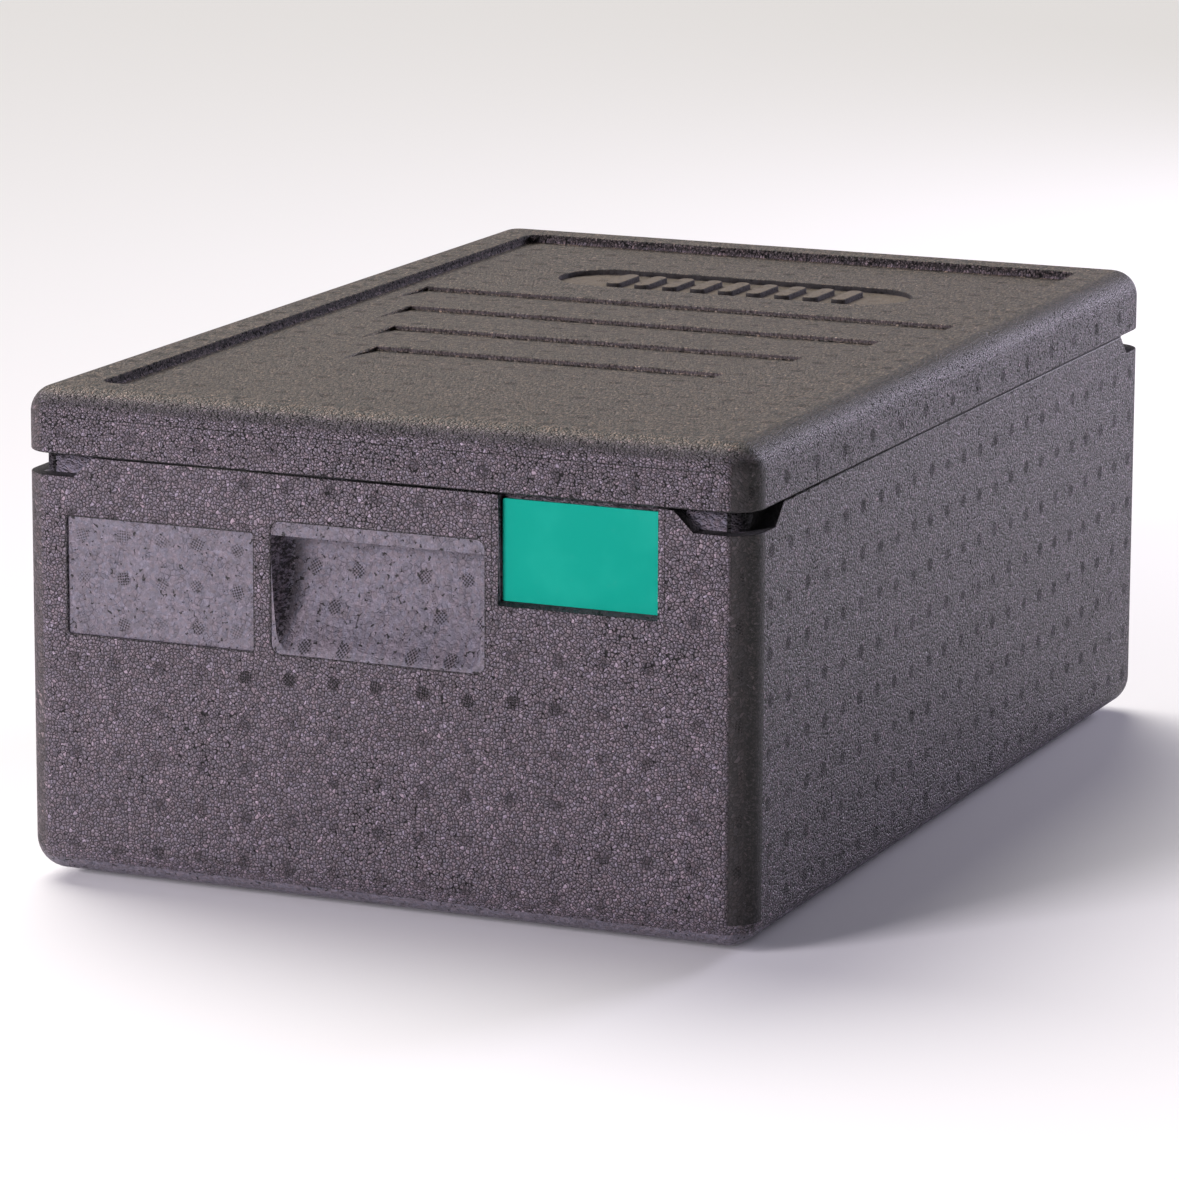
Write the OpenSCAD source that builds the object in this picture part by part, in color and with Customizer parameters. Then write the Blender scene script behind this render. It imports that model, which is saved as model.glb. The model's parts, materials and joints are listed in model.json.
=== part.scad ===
// Top-loading insulated food carrier: a thick foam body, a foam lid that lifts straight off
// and a coloured contents tag. +Y runs along the long side, the front end faces -Y, and the
// origin is on the floor under the middle of the body.

/* [Carrier] */
// Outside width
carrier_w = 400; // [396:1:410]
// Outside length
carrier_l = 600; // [594:1:620]
// Height from the feet to the top of the lid rim
carrier_h = 257; // [252:1:290]
// Height of the plane where the lid meets the body
joint_z = 224; // [222:1:226]
// Radius of the upright corners, and of the rounding under the body
corner_r = 17; // [16:0.5:19]
// Radius along the top edge of the lid
lid_edge_r = 14; // [10:0.5:15]
// Small radius on the two edges that meet at the joint
joint_edge_r = 1; // [0.6:0.1:1.4]

/* [Cavity] */
// Thickness of the walls
wall_t = 31; // [29:0.5:33]
// Height of the cavity floor above the ground
cavity_floor_z = 36; // [30:1:42]
// Upright corner radius inside the cavity
cavity_r = 22; // [18:1:26]
// Radius where the cavity walls meet its floor
cavity_floor_r = 9; // [6:1:12]
// Width of the step in the mouth that seats the lid
step_w = 8; // [6:0.5:10]
// Depth of the step in the mouth
step_d = 10; // [8:0.5:12]
// How far the lid reaches down into the cavity
plug_d = 18; // [15:1:22]
// Clearance all round the part of the lid that goes into the mouth
plug_gap = 0.5; // [0.4:0.1:1]
// Width of each low bar on the cavity floor
floor_bar_w = 14; // [10:1:18]
// Height of the bars on the cavity floor
floor_bar_h = 3; // [2:0.5:4]

/* [Finger recesses inside] */
// Radius of the half-round finger recess in each long wall of the cavity
finger_r = 26; // [22:1:30]
// How far the finger recess goes into the wall
finger_d = 10; // [8:0.5:12]
// How far the finger recess reaches down from the mouth
finger_h = 60; // [50:1:80]

/* [Grip notches] */
// Length of each notch along the rim, from the outside corner
notch_len = 42; // [36:1:50]
// Depth of the notch below the joint
notch_d = 11.2; // [9:0.2:13]
// How far the notch cuts in from the outer faces
notch_in = 8.5; // [7:0.5:10]
// Radius of the corner inside the notch
notch_r = 9; // [6:0.5:12]

/* [Handle pockets] */
// Width of the pocket and of the smooth panel around it
pocket_w = 117; // [110:1:124]
// Height of the smooth panel
pocket_panel_h = 67.5; // [62:0.5:72]
// Height of the panel's lower edge above the ground
pocket_z = 132; // [126:0.5:138]
// Height of the lip left above the pocket
pocket_lip_h = 7; // [5:0.5:9]
// Depth of the pocket behind the face
pocket_d = 22; // [20:1:24]
// Radius of the curved back of the pocket
pocket_back_r = 75; // [72:1:78]
// Radius where the curved back runs into the sides
pocket_side_r = 8; // [6:1:10]
// Draft of the pocket's sides, in degrees
pocket_draft = 10; // [6:1:12]
// How far the smooth panel is set in
pocket_panel_d = 0.6; // [0.4:0.1:1]

/* [Label and tag recesses] */
// Width of the label field
label_w = 105; // [98:1:108]
// Height of the label field
label_h = 60.5; // [54:0.5:62]
// Depth of the label field
label_d = 1.5; // [1:0.1:2]
// Distance from the middle of the end face to the middle of the label field
label_x = 121; // [119:0.5:123]
// Width of the tag
tag_w = 83.4; // [78:0.2:84]
// Height of the tag
tag_h = 51.5; // [48:0.5:52]
// Thickness of the tag
tag_t = 1.5; // [1:0.1:2]
// Clearance on each side of the tag in its recess
tag_gap = 0.9; // [0.5:0.1:1.2]
// Depth of the recess that holds the tag
tag_recess_d = 5.5; // [4:0.5:6]
// Height of the ledge that the tag stands on
tag_ledge_z = 169.5; // [168:0.5:170]
// How far the sill in front of the ledge slopes down to the outer face
tag_sill_drop = 2; // [1:0.5:3]
// Distance from the middle of the end face to the middle of the tag
tag_x = 108.4; // [108:0.2:110]

/* [Lid top] */
// Width of the raised rim on the long sides
rim_w = 30.5; // [28:0.5:34]
// Width of the raised rim at the two ends
rim_end_w = 29.5; // [28:0.5:34]
// Depth of the panel inside the rim, which takes the feet of the next carrier
panel_d = 5; // [5:0.5:6]
// Corner radius of the panel
panel_r = 9; // [6:1:12]
// Radius where the rim runs into the panel
panel_floor_r = 2.5; // [1.5:0.5:4]
// Number of sloping steps across the panel
step_count = 4; // [1:1:4]
// Distance from one sloping step to the next
step_pitch = 63; // [58:1:64]
// Place along the lid of the rearmost sloping step
step_first_y = 99; // [90:1:100]
// Width of the rearmost sloping step
step_first_w = 315; // [300:1:320]
// How much narrower each next step is
step_taper = 39; // [34:1:42]
// Length of each slope, from its deep end to nothing
step_run = 45; // [36:1:50]
// Depth of each slope at its deep end
step_drop = 2.6; // [2:0.1:3]
// Length of the round-ended field near the rear
field_l = 210; // [190:1:220]
// Width of the round-ended field
field_w = 58; // [50:1:60]
// Depth of the round-ended field
field_d = 3; // [2:0.1:3.5]
// Place along the lid of the middle of the field
field_y = 170; // [168:1:172]
// Number of plain bars standing in the field
bar_count = 9; // [5:1:9]
// Width of each bar
bar_w = 9; // [6:0.5:10]
// Length of each bar
bar_l = 34; // [26:1:38]
// Distance from one bar to the next
bar_pitch = 17; // [15:0.5:18]

/* [Feet] */
// Height of the feet under the body
foot_h = 4.5; // [4:0.1:4.8]
// Gap between the feet and the rim of a lid below them
foot_gap = 3.5; // [3:0.1:5]
// Width of the channels between the feet
foot_channel = 37; // [30:1:44]
// Radius on the lower edges of the feet
foot_edge_r = 1.5; // [1:0.1:2]

/* [Hidden] */
$fn = 48;
eps = 1;

foam = "#5c5762";
foam_lid = "#625c60";
tag_green = "#12b894";

body_h = joint_z - foot_h;
lid_h = carrier_h - joint_z;
cavity_w = carrier_w - 2 * wall_t;
cavity_l = carrier_l - 2 * wall_t;
mouth_w = cavity_w + 2 * step_w;
mouth_l = cavity_l + 2 * step_w;
mouth_r = cavity_r + step_w;
plug_z = joint_z - plug_d;
plug_step_z = joint_z - step_d + plug_gap;
panel_w = carrier_w - 2 * rim_w;
panel_l = carrier_l - 2 * rim_end_w;
panel_z = carrier_h - panel_d;
foot_w = panel_w - 2 * foot_gap;
foot_l = panel_l - 2 * foot_gap;
pocket_top_z = pocket_z + pocket_panel_h - pocket_lip_h;
pocket_axis_y = pocket_back_r - pocket_d;
pocket_axis_z = pocket_z + sqrt(pow(pocket_back_r, 2) - pow(pocket_axis_y, 2));
label_z = pocket_z + label_h / 2;
pocket_panel_r = 5;
label_edge_r = 1.5;
tag_edge_r = 0.8;
tag_back_gap = 0.2;
tag_sill_run = tag_recess_d - tag_t - 2 * tag_back_gap;
plug_edge_r = 2;

// A rectangle with round corners, centred on the origin.
module round_rect(w, l, r) {
    square([w - 2 * r, l], center = true);
    square([w, l - 2 * r], center = true);
    for (sx = [-1, 1], sy = [-1, 1])
        translate([sx * (w / 2 - r), sy * (l / 2 - r)]) circle(r);
}

// A bar with round ends, centred on the origin with its length along X.
module round_bar(l, w) {
    square([l - w, w], center = true);
    for (s = [-1, 1]) translate([s * (l - w) / 2, 0]) circle(w / 2);
}

// The outline of one edge, from the corner's axis outwards, with its top and bottom rounded.
module edge_outline(r, h, top_r, bottom_r) {
    difference() {
        square([r, h]);
        if (top_r > 0)
            translate([r - top_r, h - top_r]) difference() {
                square(top_r + eps);
                circle(top_r);
            }
        if (bottom_r > 0)
            translate([r - bottom_r, bottom_r]) mirror([0, 1]) difference() {
                square(bottom_r + eps);
                circle(bottom_r);
            }
    }
}

// A block with round upright corners and round top and bottom edges, standing on z = 0.
module soft_block(w, l, h, r, top_r, bottom_r) {
    cube_w = w - 2 * r;
    cube_l = l - 2 * r;
    translate([-cube_w / 2, -cube_l / 2, 0]) cube([cube_w, cube_l, h]);
    for (turn = [0, 180]) rotate([0, 0, turn]) {
        translate([cube_w / 2, cube_l / 2, 0]) rotate([90, 0, 0])
            linear_extrude(cube_l) edge_outline(r, h, top_r, bottom_r);
        translate([-cube_w / 2, cube_l / 2, 0]) rotate([90, 0, 90])
            linear_extrude(cube_w) edge_outline(r, h, top_r, bottom_r);
        translate([cube_w / 2, cube_l / 2, 0])
            rotate_extrude(angle = 90) edge_outline(r, h, top_r, bottom_r);
        translate([cube_w / 2, -cube_l / 2, 0]) rotate([0, 0, -90])
            rotate_extrude(angle = 90) edge_outline(r, h, top_r, bottom_r);
    }
}

// The cavity, with the step in its mouth.
module cavity() {
    translate([0, 0, cavity_floor_z])
        soft_block(cavity_w, cavity_l, joint_z - cavity_floor_z + eps, cavity_r, 0, cavity_floor_r);
    translate([0, 0, joint_z - step_d])
        linear_extrude(step_d + eps) round_rect(mouth_w, mouth_l, mouth_r);
    for (turn = [0, 180]) rotate([0, 0, turn]) finger_recess();
}

// A half-round recess in the long wall, for fingers reaching down beside a pan.
module finger_recess() {
    translate([cavity_w / 2 + finger_d - finger_r, 0, joint_z - step_d - finger_h])
        cylinder(r = finger_r, h = finger_h + eps);
}

// Low bars on the cavity floor that keep a pan off it.
module floor_bars() {
    for (i = [-1:1])
        translate([-cavity_w / 4, i * cavity_l / 4 - floor_bar_w / 2, cavity_floor_z - eps])
            cube([cavity_w / 2, floor_bar_w, floor_bar_h + eps]);
}

// One notch that lets fingers under the lid at the corner on +X, -Y. It ends in a slope.
module grip_notch() {
    flat = notch_len - notch_d;
    leg = [[-eps, 0], [flat, 0], [notch_len, notch_d], [notch_len, notch_d + eps],
        [-eps, notch_d + eps]];
    difference() {
        translate([0, 0, joint_z - notch_d]) {
            translate([carrier_w / 2, -carrier_l / 2 + 2 * notch_in, 0])
                rotate([90, 0, 0]) mirror([1, 0, 0])
                    linear_extrude(2 * notch_in + eps) polygon(leg);
            translate([carrier_w / 2 - 2 * notch_in, -carrier_l / 2, 0])
                rotate([90, 0, 90]) linear_extrude(2 * notch_in + eps) polygon(leg);
        }
        translate([0, 0, joint_z - notch_d - eps]) linear_extrude(notch_d + 3 * eps)
            round_rect(carrier_w - 2 * notch_in, carrier_l - 2 * notch_in, notch_r);
    }
}

// Half of the outline that the handle pocket is turned from, with radius along X.
module pocket_outline() {
    side_x = pocket_back_r - pocket_side_r;
    side_y = pocket_w / 2 - (side_x - pocket_axis_y) * tan(pocket_draft)
        - pocket_side_r / cos(pocket_draft);
    side = [side_x + pocket_side_r * sin(pocket_draft), side_y + pocket_side_r * cos(pocket_draft)];
    hub_y = pocket_w / 2 + pocket_axis_y * tan(pocket_draft);
    polygon([[0, -hub_y], [side[0], -side[1]], [pocket_back_r, -side_y],
        [pocket_back_r, side_y], side, [0, hub_y]]);
    for (s = [-1, 1]) translate([side_x, s * side_y]) circle(pocket_side_r);
}

// The handle pocket in the front end: a wheel-shaped hollow cut off flat under the lip,
// with the shallow smooth panel around it.
module handle_pocket() {
    intersection() {
        translate([0, -carrier_l / 2 - pocket_axis_y, pocket_axis_z]) rotate([0, 90, 0])
            rotate_extrude() pocket_outline();
        translate([-pocket_w, -carrier_l / 2 - eps, pocket_z - eps])
            cube([2 * pocket_w, pocket_d + 2 * eps, pocket_top_z - pocket_z + eps]);
    }
    translate([0, -carrier_l / 2 + pocket_panel_d, pocket_z + pocket_panel_h / 2])
        rotate([90, 0, 0]) linear_extrude(pocket_panel_d + eps)
            round_rect(pocket_w, pocket_panel_h, pocket_panel_r);
}

// The shallow field for a label, left of the handle.
module label_field() {
    translate([-label_x, -carrier_l / 2 + label_d, label_z]) rotate([90, 0, 0])
        linear_extrude(label_d + eps) round_rect(label_w, label_h, label_edge_r);
}

// The recess for the tag, right of the handle and open at the rim, with a sloping sill.
module tag_recess() {
    w = tag_w + 2 * tag_gap;
    translate([tag_x - w / 2, -carrier_l / 2, tag_ledge_z]) rotate([90, 0, 90])
        linear_extrude(w) polygon([
            [-eps, -tag_sill_drop], [0, -tag_sill_drop], [tag_sill_run, 0], [tag_recess_d, 0],
            [tag_recess_d, joint_z - tag_ledge_z + eps], [-eps, joint_z - tag_ledge_z + eps]]);
}

// Four feet under the body, parted by two channels that cross.
module feet() {
    difference() {
        soft_block(foot_w, foot_l, foot_h + eps, corner_r, 0, foot_edge_r);
        translate([-foot_channel / 2, -carrier_l / 2, -eps])
            cube([foot_channel, carrier_l, foot_h + eps]);
        translate([-carrier_w / 2, -foot_channel / 2, -eps])
            cube([carrier_w, foot_channel, foot_h + eps]);
    }
}

module body() {
    color(foam) {
        difference() {
            translate([0, 0, foot_h])
                soft_block(carrier_w, carrier_l, body_h, corner_r, joint_edge_r, corner_r);
            cavity();
            for (mx = [0, 1], my = [0, 1])
                mirror([mx, 0, 0]) mirror([0, my, 0]) grip_notch();
            for (turn = [0, 180]) rotate([0, 0, turn]) {
                handle_pocket();
                label_field();
                tag_recess();
            }
        }
        feet();
        floor_bars();
    }
}

// One sloping step in the lid panel: deep at its rear edge, running out to nothing forwards.
module sloping_step(w) {
    translate([-w / 2, 0, 0]) rotate([90, 0, 90]) linear_extrude(w)
        polygon([[0, -step_drop], [0, eps], [-step_run, eps], [-step_run, 0]]);
}

// The field near the rear of the lid, with its plain bars left standing.
module lid_field() {
    difference() {
        linear_extrude(field_d + eps) round_bar(field_l, field_w);
        for (i = [0:bar_count - 1])
            translate([(i - (bar_count - 1) / 2) * bar_pitch, 0, -eps])
                linear_extrude(field_d + eps) rotate(90) round_bar(bar_l, bar_w);
    }
}

module lid() {
    color(foam_lid) difference() {
        union() {
            translate([0, 0, joint_z])
                soft_block(carrier_w, carrier_l, lid_h, corner_r, lid_edge_r, joint_edge_r);
            translate([0, 0, plug_step_z]) linear_extrude(joint_z - plug_step_z + eps)
                round_rect(mouth_w - 2 * plug_gap, mouth_l - 2 * plug_gap, mouth_r - plug_gap);
            translate([0, 0, plug_z]) soft_block(cavity_w - 2 * plug_gap, cavity_l - 2 * plug_gap,
                plug_step_z - plug_z + eps, cavity_r - plug_gap, 0, plug_edge_r);
        }
        translate([0, 0, panel_z])
            soft_block(panel_w, panel_l, panel_d + eps, panel_r, 0, panel_floor_r);
        for (i = [0:step_count - 1])
            translate([0, step_first_y - i * step_pitch, panel_z])
                sloping_step(step_first_w - i * step_taper);
        translate([0, field_y, panel_z - field_d]) lid_field();
    }
}

// The coloured tag, standing on its ledge a hair in front of the back of the recess.
module content_tag() {
    color(tag_green)
        translate([tag_x, -carrier_l / 2 + tag_recess_d - tag_back_gap, tag_ledge_z + tag_h / 2])
            rotate([90, 0, 0]) linear_extrude(tag_t) round_rect(tag_w, tag_h, tag_edge_r);
}

body();
lid();
content_tag();
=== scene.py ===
import json
import math

import bmesh
import bpy
from mathutils import Matrix, Vector

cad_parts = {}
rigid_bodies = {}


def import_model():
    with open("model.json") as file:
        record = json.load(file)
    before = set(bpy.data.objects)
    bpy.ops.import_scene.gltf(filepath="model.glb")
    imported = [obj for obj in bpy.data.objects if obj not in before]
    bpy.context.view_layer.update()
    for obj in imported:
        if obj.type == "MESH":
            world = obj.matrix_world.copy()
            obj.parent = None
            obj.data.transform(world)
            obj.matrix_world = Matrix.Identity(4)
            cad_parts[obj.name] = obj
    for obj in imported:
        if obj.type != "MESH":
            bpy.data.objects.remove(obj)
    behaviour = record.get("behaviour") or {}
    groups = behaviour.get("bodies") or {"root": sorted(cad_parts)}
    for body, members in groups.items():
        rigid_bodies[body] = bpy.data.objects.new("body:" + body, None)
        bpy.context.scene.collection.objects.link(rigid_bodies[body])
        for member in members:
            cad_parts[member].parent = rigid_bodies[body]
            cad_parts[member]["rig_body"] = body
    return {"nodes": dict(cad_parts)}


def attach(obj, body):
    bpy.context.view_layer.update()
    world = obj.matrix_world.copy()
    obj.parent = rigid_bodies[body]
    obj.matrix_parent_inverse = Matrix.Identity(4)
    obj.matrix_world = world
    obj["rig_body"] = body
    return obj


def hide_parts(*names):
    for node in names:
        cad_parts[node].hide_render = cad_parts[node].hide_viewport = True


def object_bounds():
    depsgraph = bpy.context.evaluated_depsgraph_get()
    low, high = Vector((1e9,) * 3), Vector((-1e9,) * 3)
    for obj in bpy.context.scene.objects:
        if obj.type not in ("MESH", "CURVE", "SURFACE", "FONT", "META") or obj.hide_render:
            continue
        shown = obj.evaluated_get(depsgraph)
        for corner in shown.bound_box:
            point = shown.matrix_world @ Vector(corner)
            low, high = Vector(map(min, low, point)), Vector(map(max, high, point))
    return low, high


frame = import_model()
cad_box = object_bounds()

MM = 0.001

# Places on the CAD parts, in millimetres. The carrier's ends face -Y and +Y.
HALF_X, HALF_Y, RIM_Z = (edge / MM for edge in cad_box[1])
CORNER_R = 17.0                        # the vertical corners
CORNER_X, CORNER_Y = HALF_X - CORNER_R, HALF_Y - CORNER_R      # where they begin to round
POLISH_SHADE_START, POLISH_SHADE_END = 187.0, 189.5            # across X, where their polish and painted shade set in
JOINT_Z = 224.0                        # where the lid's skirt meets the body
SKIRT_STEP_Z = 243.2                   # a hairline round the lid's skirt
BASE_STEP_Z = 20.8                     # one round the foot of the body
SIDE_STEP_Y = 281.6                    # and a pair up each long side, near its ends
POCKET = (58.5, 33.75, 5.0)            # the pocket panel's half width, half height and corner
POCKET_BOTTOM, POCKET_Z, POCKET_TOP = 132.0, 165.75, 199.6     # that panel, from its foot up
LABEL = (52.5, 30.25, 1.5)             # the label field's half width, half height and corner
LABEL_X, LABEL_Z = 121.0, 162.25       # its middle
TAG_X, TAG_LINE = 108.4, 46.0          # the tag recess's middle, and its hairlines' place from it
TAG_LEDGE_Z = 169.5                    # what the tag stands on
NOTCH_FLOOR, NOTCH_IN = 212.8, 8.5     # the grip notches under the lid, and how deep they go
NOTCH_REACH = 43.0                     # just over how far they run from the corner
FIELD_X, FIELD_Y, FIELD_R = 76.0, 170.0, 29.3      # the round-ended field near the lid's rear
PANEL_X, PANEL_Y, PANEL_Z = 169.0, 270.0, 252.0    # the lid's recessed panel

# The foam's pattern: lengths in millimetres. Of two values, the lid's is the one under True.
VENT_R, VENT_PITCH = 4.0, 1.38         # a vent mark's radius, and the pitch of its dots
VENT_ROW_Z = 118.0                     # the one bold row of vent marks on the body's ends
BEAD, VOID = 2.7, 1.7                  # plain faces: the beads, and the cells that make voids
PEBBLE = {False: 1.8, True: 1.55}      # grained faces
RELIEF = 0.50                          # height of the bump
PITS = {False: (0.64, 0.72), True: (0.48, 0.58)}   # levels of cloudy noise where pits set in


# ---------------------------------------------------------------- shader maths
def give(tree, slot, value):
    """Link a field to a node's input, or set the input to a plain number."""
    if isinstance(value, Field):
        tree.links.new(value.socket, slot)
    else:
        slot.default_value = value


class Field:
    """A number that varies over a surface. Python's operators on it make Math nodes."""

    def __init__(self, tree, socket):
        self.tree, self.socket = tree, socket

    def op(self, operation, *others, clamp=False):
        node = self.tree.nodes.new("ShaderNodeMath")
        node.operation, node.use_clamp = operation, clamp
        for slot, value in zip(node.inputs, (self, *others)):
            give(self.tree, slot, value)
        return Field(self.tree, node.outputs[0])

    def __add__(self, other):
        return self.op("ADD", other)

    def __sub__(self, other):
        return self.op("SUBTRACT", other)

    def __mul__(self, other):
        return self.op("MULTIPLY", other)

    def __truediv__(self, other):
        return self.op("DIVIDE", other)

    __radd__, __rmul__ = __add__, __mul__

    def __rsub__(self, other):
        return (self * -1.0) + other

    def __abs__(self):
        return self.op("ABSOLUTE")

    def above(self, edge):
        return self.op("GREATER_THAN", edge)

    def below(self, edge):
        return self.op("LESS_THAN", edge)

    def within(self, low, high):
        return self.above(low) * self.below(high)

    def either(self, other):
        return self.op("MAXIMUM", other)

    def ramp(self, start, end):
        """0 at start and 1 at end, eased at both."""
        node = self.tree.nodes.new("ShaderNodeMapRange")
        node.interpolation_type = "SMOOTHSTEP"
        give(self.tree, node.inputs["Value"], self)
        give(self.tree, node.inputs["From Min"], start)
        give(self.tree, node.inputs["From Max"], end)
        return Field(self.tree, node.outputs["Result"])

    def mix(self, a, b):
        """a where this is 0, b where it is 1."""
        return (b - a) * self + a


class Graph:
    """One material's nodes, with the piece's own coordinates in millimetres."""

    def __init__(self, name):
        self.material = bpy.data.materials.new(name)
        self.material.use_nodes = True
        self.tree = self.material.node_tree
        self.shader = self.tree.nodes["Principled BSDF"]
        coords = self.tree.nodes.new("ShaderNodeTexCoord")
        self.place = coords.outputs["Object"]
        self.x, self.y, self.z = (f * 1000.0 for f in self.split(self.place))
        self.nx, self.ny, self.nz = (abs(f) for f in self.split(coords.outputs["Normal"]))

    def split(self, socket):
        node = self.tree.nodes.new("ShaderNodeSeparateXYZ")
        self.tree.links.new(socket, node.inputs[0])
        return [Field(self.tree, out) for out in node.outputs]

    def steady(self, value):
        """The same number everywhere."""
        node = self.tree.nodes.new("ShaderNodeValue")
        node.outputs[0].default_value = value
        return Field(self.tree, node.outputs[0])

    def join(self, *values):
        """Three numbers as one vector or colour."""
        node = self.tree.nodes.new("ShaderNodeCombineXYZ")
        for slot, value in zip(node.inputs, values):
            give(self.tree, slot, value)
        return node.outputs[0]

    def noise(self, size, detail=2.0, rough=0.5, at=None):
        """Cloudy noise from 0 to 1, with clouds about this many millimetres across."""
        node = self.tree.nodes.new("ShaderNodeTexNoise")
        self.tree.links.new(at or self.place, node.inputs["Vector"])
        node.inputs["Scale"].default_value = 1000.0 / size
        node.inputs["Detail"].default_value = detail
        node.inputs["Roughness"].default_value = rough
        return Field(self.tree, node.outputs[0])

    def drift(self, size, reach):
        """Two offsets that wander by up to this many millimetres, for wobbling a pattern."""
        node = self.tree.nodes.new("ShaderNodeTexNoise")
        self.tree.links.new(self.place, node.inputs["Vector"])
        node.inputs["Scale"].default_value = 1000.0 / size
        node.inputs["Detail"].default_value = 0.0
        across, along, _ = self.split(node.outputs["Color"])
        return (across - 0.5) * (reach * 2.0), (along - 0.5) * (reach * 2.0)

    def cells(self, size, feature="F1", at=None, dimensions=3):
        """Voronoi cells this many millimetres across: the distance from a cell's middle and three
        random numbers a cell, or with DISTANCE_TO_EDGE only the distance from its edge."""
        node = self.tree.nodes.new("ShaderNodeTexVoronoi")
        node.feature = feature
        node.voronoi_dimensions = f"{dimensions}D"
        self.tree.links.new(at or self.place, node.inputs["Vector"])
        node.inputs["Scale"].default_value = 1000.0 / size
        distance = Field(self.tree, node.outputs["Distance"])
        if feature == "DISTANCE_TO_EDGE":
            return distance
        return distance, self.split(node.outputs["Color"])

    def chance(self, *at):
        """Three random numbers that depend only on these values."""
        node = self.tree.nodes.new("ShaderNodeTexWhiteNoise")
        self.tree.links.new(self.join(*at), node.inputs["Vector"])
        return self.split(node.outputs["Color"])

    def feed(self, name, source):
        """Link a field or a socket into the material's shader."""
        socket = source.socket if isinstance(source, Field) else source
        self.tree.links.new(socket, self.shader.inputs[name])

    def bump(self, height, distance, strength=1.0):
        node = self.tree.nodes.new("ShaderNodeBump")
        node.inputs["Strength"].default_value = strength
        node.inputs["Distance"].default_value = distance
        self.tree.links.new(height.socket, node.inputs["Height"])
        self.feed("Normal", node.outputs[0])


def spread(u, v):
    """The distance from the point where both of these are 0."""
    return (u * u + v * v).op("SQRT")


def outline(u, v, half_u, half_v, radius):
    """A thin line just outside a rectangle with round corners."""
    across, along = abs(u) - (half_u - radius), abs(v) - (half_v - radius)
    out_u, out_v = across.op("MAXIMUM", 0.0), along.op("MAXIMUM", 0.0)
    outside = spread(out_u, out_v)
    distance = outside + across.op("MAXIMUM", along).op("MINIMUM", 0.0) - radius
    return abs(distance - 0.45).ramp(0.6, 0.25)


def vent_marks(g, u, v, pitch_u, pitch_v, start_u, start_v, wander):
    """The prints of steam vents: discs of small dots on a grid, each turned its own way.
    Gives the dots, the discs, and how strongly each one shows. Faces turned to different axes
    draw different chances."""
    across, along = (u - start_u) / pitch_u, (v - start_v) / pitch_v
    column, row = across.op("ROUND"), along.op("ROUND")
    turn, shift, weight = g.chance(column + g.nx.above(0.7) * 37.0, row, g.nz.above(0.7) * 11.0)
    du = (across - column) * pitch_u + (shift - 0.5) * wander
    dv = (along - row) * pitch_v + (turn - 0.5) * wander
    angle = turn * math.tau
    cos, sin = angle.op("COSINE"), angle.op("SINE")
    ragged = (g.noise(3.0, 2.0) - 0.5) * 2.4
    disc = (spread(du, dv) + ragged).ramp(VENT_R + 0.4, VENT_R - 1.2)
    a = (du * cos + dv * sin) / VENT_PITCH
    b = (dv * cos - du * sin) / VENT_PITCH
    a = a - a.op("ROUND")
    b = b - b.op("ROUND")
    dots = spread(a, b).ramp(0.44, 0.26)
    return disc * dots, disc, weight


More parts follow.
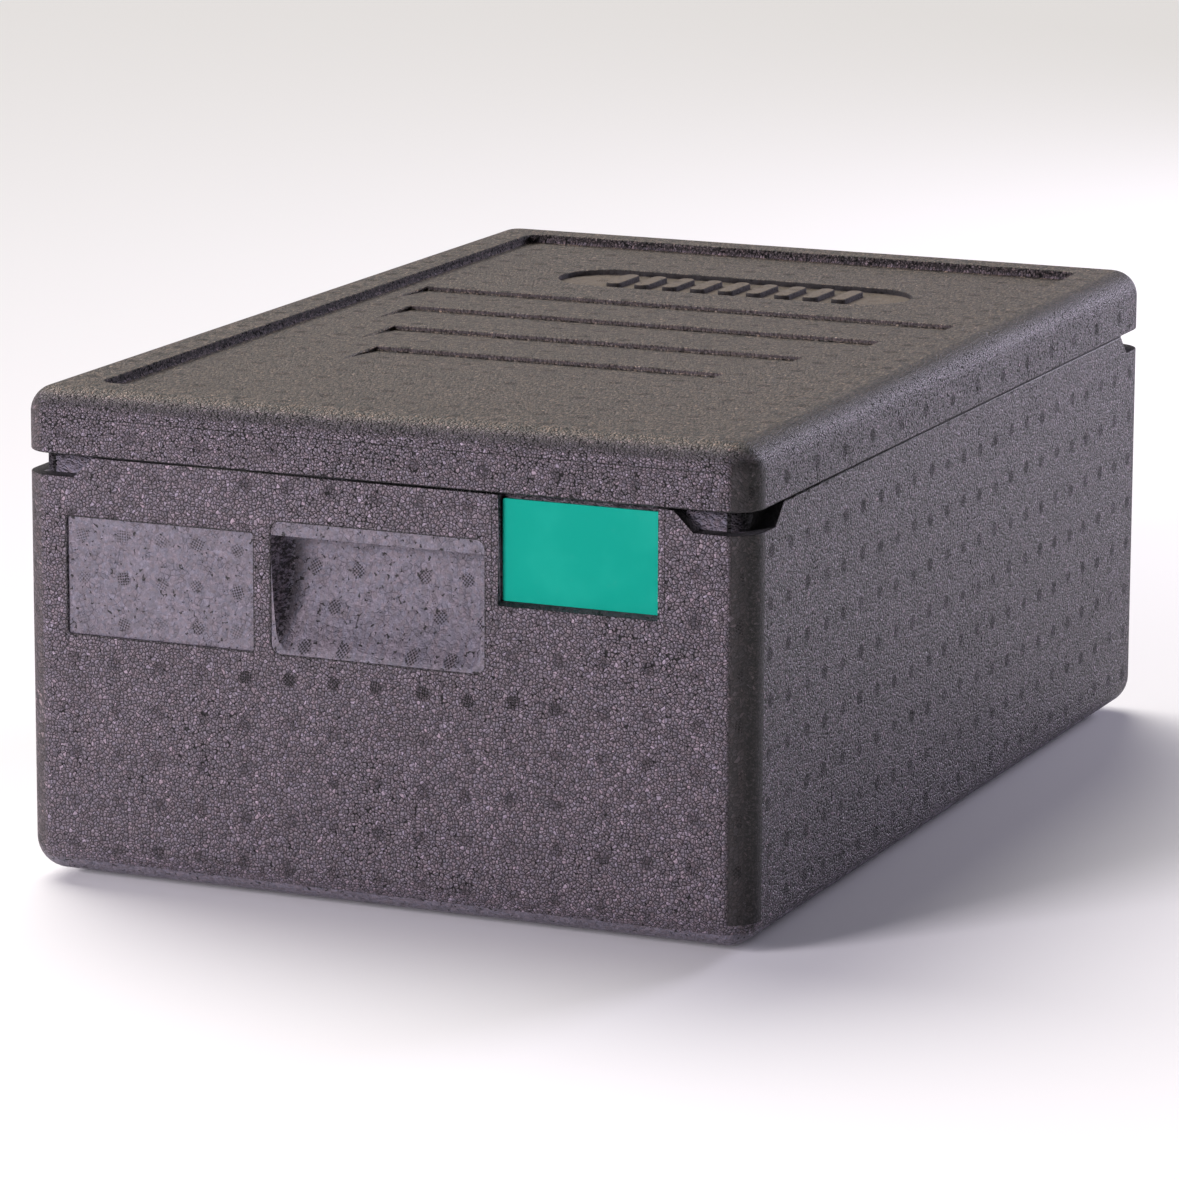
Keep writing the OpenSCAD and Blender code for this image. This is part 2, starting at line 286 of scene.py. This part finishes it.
def foam(name, lid):
    """Expanded polypropylene: pebbled where the mould was grained, plain beads elsewhere.

    twin is 1 at two diagonally opposite corners, which are smoothed more than the others and carry
    more painted shade.
    """
    g = Graph(name)
    ax, ay = abs(g.x), abs(g.y)
    depth_x, depth_y = HALF_X - ax, HALF_Y - ay
    depth = depth_x.op("MINIMUM", depth_y)
    end = depth_y.below(depth_x)
    corner = ax.above(CORNER_X) * ay.above(CORNER_Y)
    twin = (g.x * g.y).below(0.0)

    # Masks, 0 or 1 or between. grained: where the mould was grained, with map_u and map_v as a
    # flat map that runs on over the edges. The vertical corners: smoother from the mould's polish,
    # and
    # darkened with painted shade. top: the lid's top. calm: tone evened out. The shade mask:
    # painted shade that darkens the tone, and painted light that lightens it where the mask is
    # below 0.
    # rough: less gloss. lines: hairlines round the panels and along the small steps.
    if lid:
        field = spread((ax - FIELD_X).op("MAXIMUM", 0.0), g.y - FIELD_Y).below(FIELD_R)
        panel = g.z.within(PANEL_Z - 2.7, PANEL_Z + 0.4) * ax.below(PANEL_X) * ay.below(PANEL_Y)
        outside = depth.below(0.25).either(g.z.above(243.0) * depth.below(14.5))
        # the vertical corners: a smoother finish, and painted shade that darkens them
        polished_and_shaded = corner * ax.ramp(POLISH_SHADE_START, POLISH_SHADE_END)
        polished_and_shaded = polished_and_shaded * g.z.above(JOINT_Z - 1.0) * g.z.ramp(252.0, 247.0)
        grained = outside.either(g.z.above(PANEL_Z - 2.7) * (1.0 - field)).either(corner)
        top = g.z.ramp(250.5, 255.5).either(panel).either(field * g.z.above(248.0))
        map_u = panel.either(end).mix(g.y, g.x)
        map_v = panel.mix(g.z + depth, g.y - g.z)
        step = panel * g.ny.above(0.6)
        calm = step.either(field)
        flat_up = g.nz.above(0.9)
        inner = g.z.within(PANEL_Z - 2.0, RIM_Z - 0.1) * (1.0 - flat_up)
        inner = inner * (1.0 - outside) * (1.0 - field)
        # painted shade: a dark band along the top rounding, darker step walls, darker tops of the
        # panel's inner walls and darker field walls; painted light on the inner walls' foot and on
        # the field's floors
        rounding_shade_band = abs(g.z - end.mix(254.6, 250.4)).ramp(end.mix(5.4, 4.4), 0.6) * depth.below(13.0)
        shade = step * 0.3 + inner * (g.z.ramp(PANEL_Z, 254.8) * 0.7 - 0.4)
        shade = shade + field * (0.35 - flat_up * 1.25) + rounding_shade_band * end.mix(0.62, 0.5)
        rough = (inner + field) * 0.25
        lines = abs(g.z - SKIRT_STEP_Z).ramp(0.5, 0.15) * depth.below(0.3) * (0.4 + end * 0.6)
    else:
        outside = depth.ramp(0.5, 0.2)
        under = g.z.below(21.0)
        beyond = spread(ax - CORNER_X, ay - CORNER_Y).above(CORNER_R - 0.4)
        # the vertical corners: a smoother finish, and painted shade that darkens them
        polished_and_shaded = corner * ax.ramp(POLISH_SHADE_START, POLISH_SHADE_END) * beyond
        grained = outside.either(under * (1.0 - g.nz.above(0.5))).either(corner * beyond)
        top = g.steady(0.0)
        map_u = end.mix(g.y, g.x)
        map_v = g.z - depth
        label_side = (g.x * g.y).above(0.0)
        notch = g.z.within(NOTCH_FLOOR - 0.8, JOINT_Z + 0.2) * depth.within(0.4, 9.0)
        notch = notch * (1.0 - polished_and_shaded)
        notch = notch * ax.above(HALF_X - NOTCH_REACH) * ay.above(HALF_Y - NOTCH_REACH)
        # the front-facing wall of a grip notch, which gets painted light
        wall = abs(depth_y - NOTCH_IN).below(0.3) * ax.below(183.5) * g.z.above(NOTCH_FLOOR + 0.4)
        calm = wall
        # the tag recess's ledge, which gets a painted shadow
        ledge_shadow = depth_y.within(0.2, 5.6) * g.z.within(TAG_LEDGE_Z - 2.5, TAG_LEDGE_Z + 0.3)
        ledge_shadow = ledge_shadow * ax.within(60.0, 156.0) * (1.0 - label_side)
        # painted shade darkens the grip notches, painted light lightens their front-facing wall,
        # and a painted shadow darkens the tag's ledge
        shade = notch * (0.85 - wall * 2.45) + ledge_shadow * 0.7
        rough = notch * 0.25
        lines = outline(g.x, g.z - POCKET_Z, *POCKET)
        lines = lines.either(outline(ax - LABEL_X, g.z - LABEL_Z, *LABEL) * label_side)
        borders = abs(abs(ax - TAG_X) - TAG_LINE).ramp(0.5, 0.2) * g.z.above(165.0)
        lines = lines.either(borders * (1.0 - label_side)) * depth_y.below(0.3)
        sides = abs(abs(ay - SIDE_STEP_Y) - 0.9).ramp(0.45, 0.15) * depth_x.below(0.3) * 0.6
        base = abs(g.z - BASE_STEP_Z).ramp(0.5, 0.2) * depth.below(0.6) * 0.5
        lines = lines.either(sides).either(base)
    # a painted shadow in the joint where the lid's skirt meets the body
    joint_shadow = abs(g.z - JOINT_Z).ramp(0.8, 0.5) * depth.below(2.0)
    shift_u, shift_v = g.drift(2.2, 0.9)
    flat = g.join((map_u + shift_u) * MM, (map_v + shift_v) * MM, 0.0)

    # vent marks: a grid of its own on each face, and on the label and in the pocket
    on_x = g.nx.above(0.75)
    on_y = g.ny.above(0.75)
    on_z = g.nz.above(0.75)
    u = on_x.mix(g.x, g.y)
    v = on_z.mix(g.z, g.y)
    if lid:
        pitch_u, pitch_v = on_z.mix(39.2, 24.0), on_z.mix(60.0, 24.0)
        start_u, start_v = on_z.mix(19.6, 12.0), on_z.mix(234.5, 6.0)
        marked = on_x.either(on_y).either(on_z)
        strong = on_x * 0.45 - on_z * 0.05
    else:
        label = label_side * depth_y.above(1.2) * ax.within(68.0, 174.0)
        label = label * g.z.within(POCKET_BOTTOM, 193.0)
        handle = depth_y.above(0.4) * ax.below(POCKET[0] + 0.1)
        handle = handle * g.z.within(POCKET_BOTTOM, POCKET_TOP)
        pitch = on_x.mix(24.45, 25.0)
        pitch_u = pitch - label * 2.75 - handle * 1.45
        pitch_v = pitch - label * 2.7 - handle * 6.15
        start_u = handle * 18.0 - label * 8.8 * (g.x / ax)
        start_v = on_x.mix(45.6, 1.0) + label * 94.4 + handle * 91.0
        middle = abs(g.x + 1.5)
        u = handle.mix(u, middle - abs(g.z - 154.6).below(9.0) * 11.0)
        bare = (g.z.within(145.0, 164.0) * middle.below(19.0)).either(g.z.above(190.5))
        marked = on_x.either(on_y) * (1.0 - handle * bare.either(ax.above(52.0)))
        from_left = g.x * (g.y / ay) * -1.0
        row = abs(g.z - VENT_ROW_Z).below(8.0) * from_left.within(-84.0, 110.0)
        strong = (1.0 - on_x) * row * 0.8 + on_x * 0.45 - label * 0.3
    dots, disc, weight = vent_marks(g, u, v, pitch_u, pitch_v, start_u, start_v, 2.4)
    mark = marked * (0.45 + weight * 0.55 + strong)

    # pebbles of the grained faces, with pits where they leave a gap
    edge = g.cells(PEBBLE[lid], "DISTANCE_TO_EDGE", flat, 2)
    reach, (tint, spark, hue) = g.cells(PEBBLE[lid], "F1", flat, 2)
    crevice = edge.ramp(0.0, 0.20)
    dome = 1.0 - reach * reach * 1.6
    fine = g.noise(0.8, 2.0)
    pits = g.noise(3.4, 1.0) + (g.noise(45.0, 1.0) - 0.5) * 0.5
    pit = reach.ramp(0.50, 0.58) * pits.ramp(*PITS[lid])
    pit = pit * (1.0 - on_z * 0.8) * (1.0 - polished_and_shaded * 0.7)

    # beads of the plain faces, with small voids here and there
    bead_edge = g.cells(BEAD, "DISTANCE_TO_EDGE")
    bead_reach, (bead_tint, _, _) = g.cells(BEAD)
    seam = bead_edge.ramp(0.0, 0.10)
    seam = 1.0 - (1.0 - seam) * g.noise(7.0, 1.0).ramp(0.42, 0.65)
    gap_reach, _ = g.cells(VOID)
    void = gap_reach.ramp(0.68, 0.72) * g.noise(3.6, 2.0).ramp(0.56, 0.60)
    mottle = g.noise(2.0, 3.0, 0.7).ramp(0.40, 0.68)

    # how light each spot is; the lid's top and the long sides are sandier than the ends
    cloud = g.noise(80.0, 3.0) * 0.6 + g.noise(14.0, 2.0) * 0.4
    pebble_tone = crevice.mix(0.20, 1.0) * (0.56 + tint * 0.72) * (0.60 + fine * 0.85)
    # glint: painted glints, bright specks in the colour
    glint = g.noise(0.75, 0.0).ramp(0.60, 0.72) * (1.0 - polished_and_shaded * 0.8)
    pebble_tone = pebble_tone * (1.0 + spark.ramp(0.84, 0.97) + glint * 1.1) * (1.0 - pit * 0.9)
    bead_tone = seam.mix(0.66, 1.0) * (0.70 + bead_tint * 0.32 + mottle * 0.48)
    bead_tone = bead_tone * (0.88 + fine * 0.24) * (1.0 - void * 0.96)
    # the lid's top a little darker: painted shade
    tone = grained.mix(bead_tone * 1.40, pebble_tone) * (1.0 - top * 0.08)
    tone = tone * (0.84 + cloud * 0.32)
    print_tone = grained.mix(mark.ramp(0.0, 0.4) * dots * 0.92, mark * (disc * 0.22 + dots * 0.40))
    tone = tone * (1.0 - print_tone)
    tone = calm.mix(tone, tone * 0.35 + 0.5)
    # painted shade and painted light from the shade mask, a painted shadow in the joint, and the
    # hairlines
    tone = tone * (1.0 - shade) * (1.0 - joint_shadow * 0.92) * (1.0 - lines * 0.72)
    stretched = g.join(g.x * MM, g.y * (0.32 * MM), g.z * MM)
    sand = g.noise(1.5, 2.0, 0.8, stretched).ramp(0.43, 0.57)
    # the long sides a little darker and less green: painted shade and the tint of the light on
    # them
    side = g.nx.ramp(0.88, 0.97)
    sandy = top.either(on_x) * (1.0 - calm)
    tone = tone * sandy.mix(1.0, sand.mix(0.20, 1.80)) * (1.0 - side * 0.15)

    # the vertical corners: the mould's polish makes them smoother, and painted shade darkens them,
    # most on the twin corners
    tone = tone * (1.0 - polished_and_shaded * (0.12 + twin * 0.63))

    # the lid's top warmer and less blue: a painted tint of the warm light from above
    warm_light_tint = top * g.nz.ramp(0.6, 0.95)
    red = tone * (0.075 + grained * 0.004 + hue * 0.010 + warm_light_tint * 0.004)
    green = tone * (0.071 - grained * 0.004 - warm_light_tint * 0.002 - side * 0.003)
    blue = tone * (0.092 - hue * 0.007 - grained * 0.004 - top * 0.014 - warm_light_tint * 0.020)
    # the corners a little less blue, part of their painted shade
    blue = blue * (1.0 - polished_and_shaded * 0.12)
    g.feed("Base Color", g.join(red, green, blue))

    dullness = grained.mix(0.52 + fine * 0.12, 0.42 + fine * 0.16) + polished_and_shaded * 0.1 + pit * 0.3
    dullness = dullness + rough + mark * disc * 0.18
    g.feed("Roughness", dullness)
    g.shader.inputs["Specular IOR Level"].default_value = 0.5

    pebble_height = dome * 0.75 + crevice * 0.35 + fine * 0.75 + tint * 0.6 - pit * 1.4
    bead_height = seam * 0.3 + fine * 0.4 + mottle * 0.5 - void * 1.4
    bead_height = bead_height - bead_reach * bead_reach * 0.6
    height = grained.mix(bead_height, pebble_height * (1.0 - polished_and_shaded * (0.35 + twin * 0.5)))
    height = height * (1.0 + side * 0.4) - mark * dots * 0.6
    g.bump(height, RELIEF * MM)
    return g.material


def tag_plastic():
    """Smooth green plastic, with faint haze and scuffs."""
    g = Graph("tag_plastic")
    haze = g.noise(38.0, 3.0, 0.6).ramp(0.42, 0.72)
    scuff = g.noise(6.0, 4.0, 0.7).ramp(0.60, 0.75)
    tone = 1.0 + haze * 0.10
    red = tone * 0.002 + haze * 0.003 + scuff * 0.006
    g.feed("Base Color", g.join(red, tone * 0.252, tone * 0.186))
    g.feed("Roughness", 0.30 + haze * 0.12 + scuff * 0.12)
    g.shader.inputs["Specular IOR Level"].default_value = 0.04
    g.bump(g.noise(3.0, 2.0) + g.noise(25.0, 1.0) * 4.0, 0.02 * MM, 0.4)
    return g.material


# ---------------------------------------------------------------- pieces
NEAR, SAME = 0.02, 0.002       # millimetres within which places agree, or are one point


def body_edge(edge):
    """An edge in an end face below the rim, or round the floor of a grip notch."""
    places = [vertex.co / MM for vertex in edge.verts]
    on_end = all(
        abs(p.y) > HALF_Y - NEAR and abs(p.x) < 176 and 131 < p.z < JOINT_Z - 1.5 for p in places
    )
    return on_end or all(abs(p.z - NOTCH_FLOOR) < NEAR for p in places)


def softened(node, name, width, material, chosen=lambda edge: True, weld=SAME):
    """A copy of a CAD node with its outer edges rounded off, which stands for it.

    Only chosen edges are rounded. Points round the pocket's panel that are nearer than weld
    become one first, because a tiny edge there would fold over.
    """
    source = frame["nodes"][node]
    mesh = bpy.data.meshes.new(name)
    shape = bmesh.new()
    shape.from_mesh(source.data)
    bmesh.ops.remove_doubles(shape, verts=shape.verts, dist=SAME * MM)
    panel = [
        v for v in shape.verts
        if abs(v.co.y) > (HALF_Y - NEAR) * MM and abs(v.co.x) < (POCKET[0] + 0.2) * MM
    ]
    bmesh.ops.remove_doubles(shape, verts=panel, dist=weld * MM)
    bmesh.ops.dissolve_limit(
        shape, angle_limit=math.radians(0.5), verts=shape.verts, edges=shape.edges
    )
    corners = math.radians(30)
    sharp = [e for e in shape.edges if e.calc_face_angle_signed(0) > corners and chosen(e)]
    bmesh.ops.bevel(
        shape, geom=sharp, offset=width * MM, segments=2, profile=0.5, affect="EDGES",
        clamp_overlap=False,
    )
    for face in shape.faces:
        face.smooth = True
    shape.to_mesh(mesh)
    shape.free()
    mesh.materials.append(material)
    piece = bpy.data.objects.new(name, mesh)
    bpy.context.scene.collection.objects.link(piece)
    mesh.set_sharp_from_angle(angle=math.radians(50))
    normals = piece.modifiers.new("flat faces stay flat", "WEIGHTED_NORMAL")
    normals.keep_sharp = True
    body = source["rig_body"]
    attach(piece, body)
    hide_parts(node)
    return piece


softened("body", "carrier_body", 0.4, foam("body_foam_look", False), body_edge, 0.12)
softened("lid", "carrier_lid", 0.9, foam("lid_foam_look", True))
softened("content_tag", "contents_tag", 0.25, tag_plastic())


# ---------------------------------------------------------------- stage
def toward(azimuth, elevation):
    """A direction from the object. Azimuth 0 is in front of it, and 90 is on its +X side."""
    a, e = math.radians(azimuth), math.radians(elevation)
    return Vector((math.sin(a) * math.cos(e), -math.cos(a) * math.cos(e), math.sin(e)))


def add_turned(thing, rotation):
    """Turn an object and put it in the scene."""
    thing.rotation_mode = "QUATERNION"
    thing.rotation_quaternion = rotation
    bpy.context.scene.collection.objects.link(thing)


def area_light(name, azimuth, elevation, distance, size, power, colour):
    """A soft box turned to the object's middle. Distance and size are in metres."""
    way = toward(azimuth, elevation)
    lamp = bpy.data.lights.new(name, "AREA")
    lamp.shape = "RECTANGLE"
    lamp.size, lamp.size_y = size
    lamp.energy, lamp.color = power, colour
    holder = bpy.data.objects.new(name, lamp)
    holder.location = Vector((0, 0, 0.13)) + way * distance
    add_turned(holder, way.to_track_quat("Z", "Y"))


area_light("front_box", -24, 13, 2.6, (0.8, 0.7), 68, (1.0, 0.92, 1.0))
area_light("side_box", 155, 14, 2.6, (0.8, 0.5), 37, (0.88, 0.82, 1.0))

sky = bpy.data.lights.new("overhead", "SUN")
sky.energy, sky.angle, sky.color = 3.1, math.radians(50), (1.0, 0.95, 0.90)
overhead = bpy.data.objects.new("overhead", sky)
add_turned(overhead, toward(-128, 50).to_track_quat("Z", "Y"))

world = bpy.data.worlds.new("studio")
bpy.context.scene.world = world
world.use_nodes = True
backdrop = world.node_tree.nodes["Background"].inputs
backdrop["Color"].default_value = (1, 1, 1, 1)
backdrop["Strength"].default_value = 0.07

floor_mesh = bpy.data.meshes.new("floor")
far = 30.0
floor_mesh.from_pydata(
    [(-far, -far, 0), (far, -far, 0), (far, far, 0), (-far, far, 0)],
    [], [(0, 1, 2, 3)],
)
floor = bpy.data.objects.new("floor", floor_mesh)
bpy.context.scene.collection.objects.link(floor)
paint = bpy.data.materials.new("floor_paint")
paint.use_nodes = True
coat = paint.node_tree.nodes["Principled BSDF"].inputs
coat["Base Color"].default_value = (0.88, 0.89, 0.91, 1)
coat["Roughness"].default_value = 0.9
floor_mesh.materials.append(paint)

bpy.context.scene.view_settings.view_transform = "Standard"

# ---------------------------------------------------------------- camera
YAW, PITCH, ROLL = 0.4075, 0.2126, 0.0039
lens = bpy.data.cameras.new("camera")
lens.sensor_width = 36.0
lens.lens = 182.2              # a long lens: the carrier's sides converge only a little
camera = bpy.data.objects.new("camera", lens)
camera.location = (1.24212, -2.91133, 0.79413)
aim = (
    Matrix.Rotation(YAW, 3, "Z")
    @ Matrix.Rotation(math.pi / 2 - PITCH, 3, "X")
    @ Matrix.Rotation(ROLL, 3, "Z")
)
add_turned(camera, aim.to_quaternion())
bpy.context.scene.camera = camera
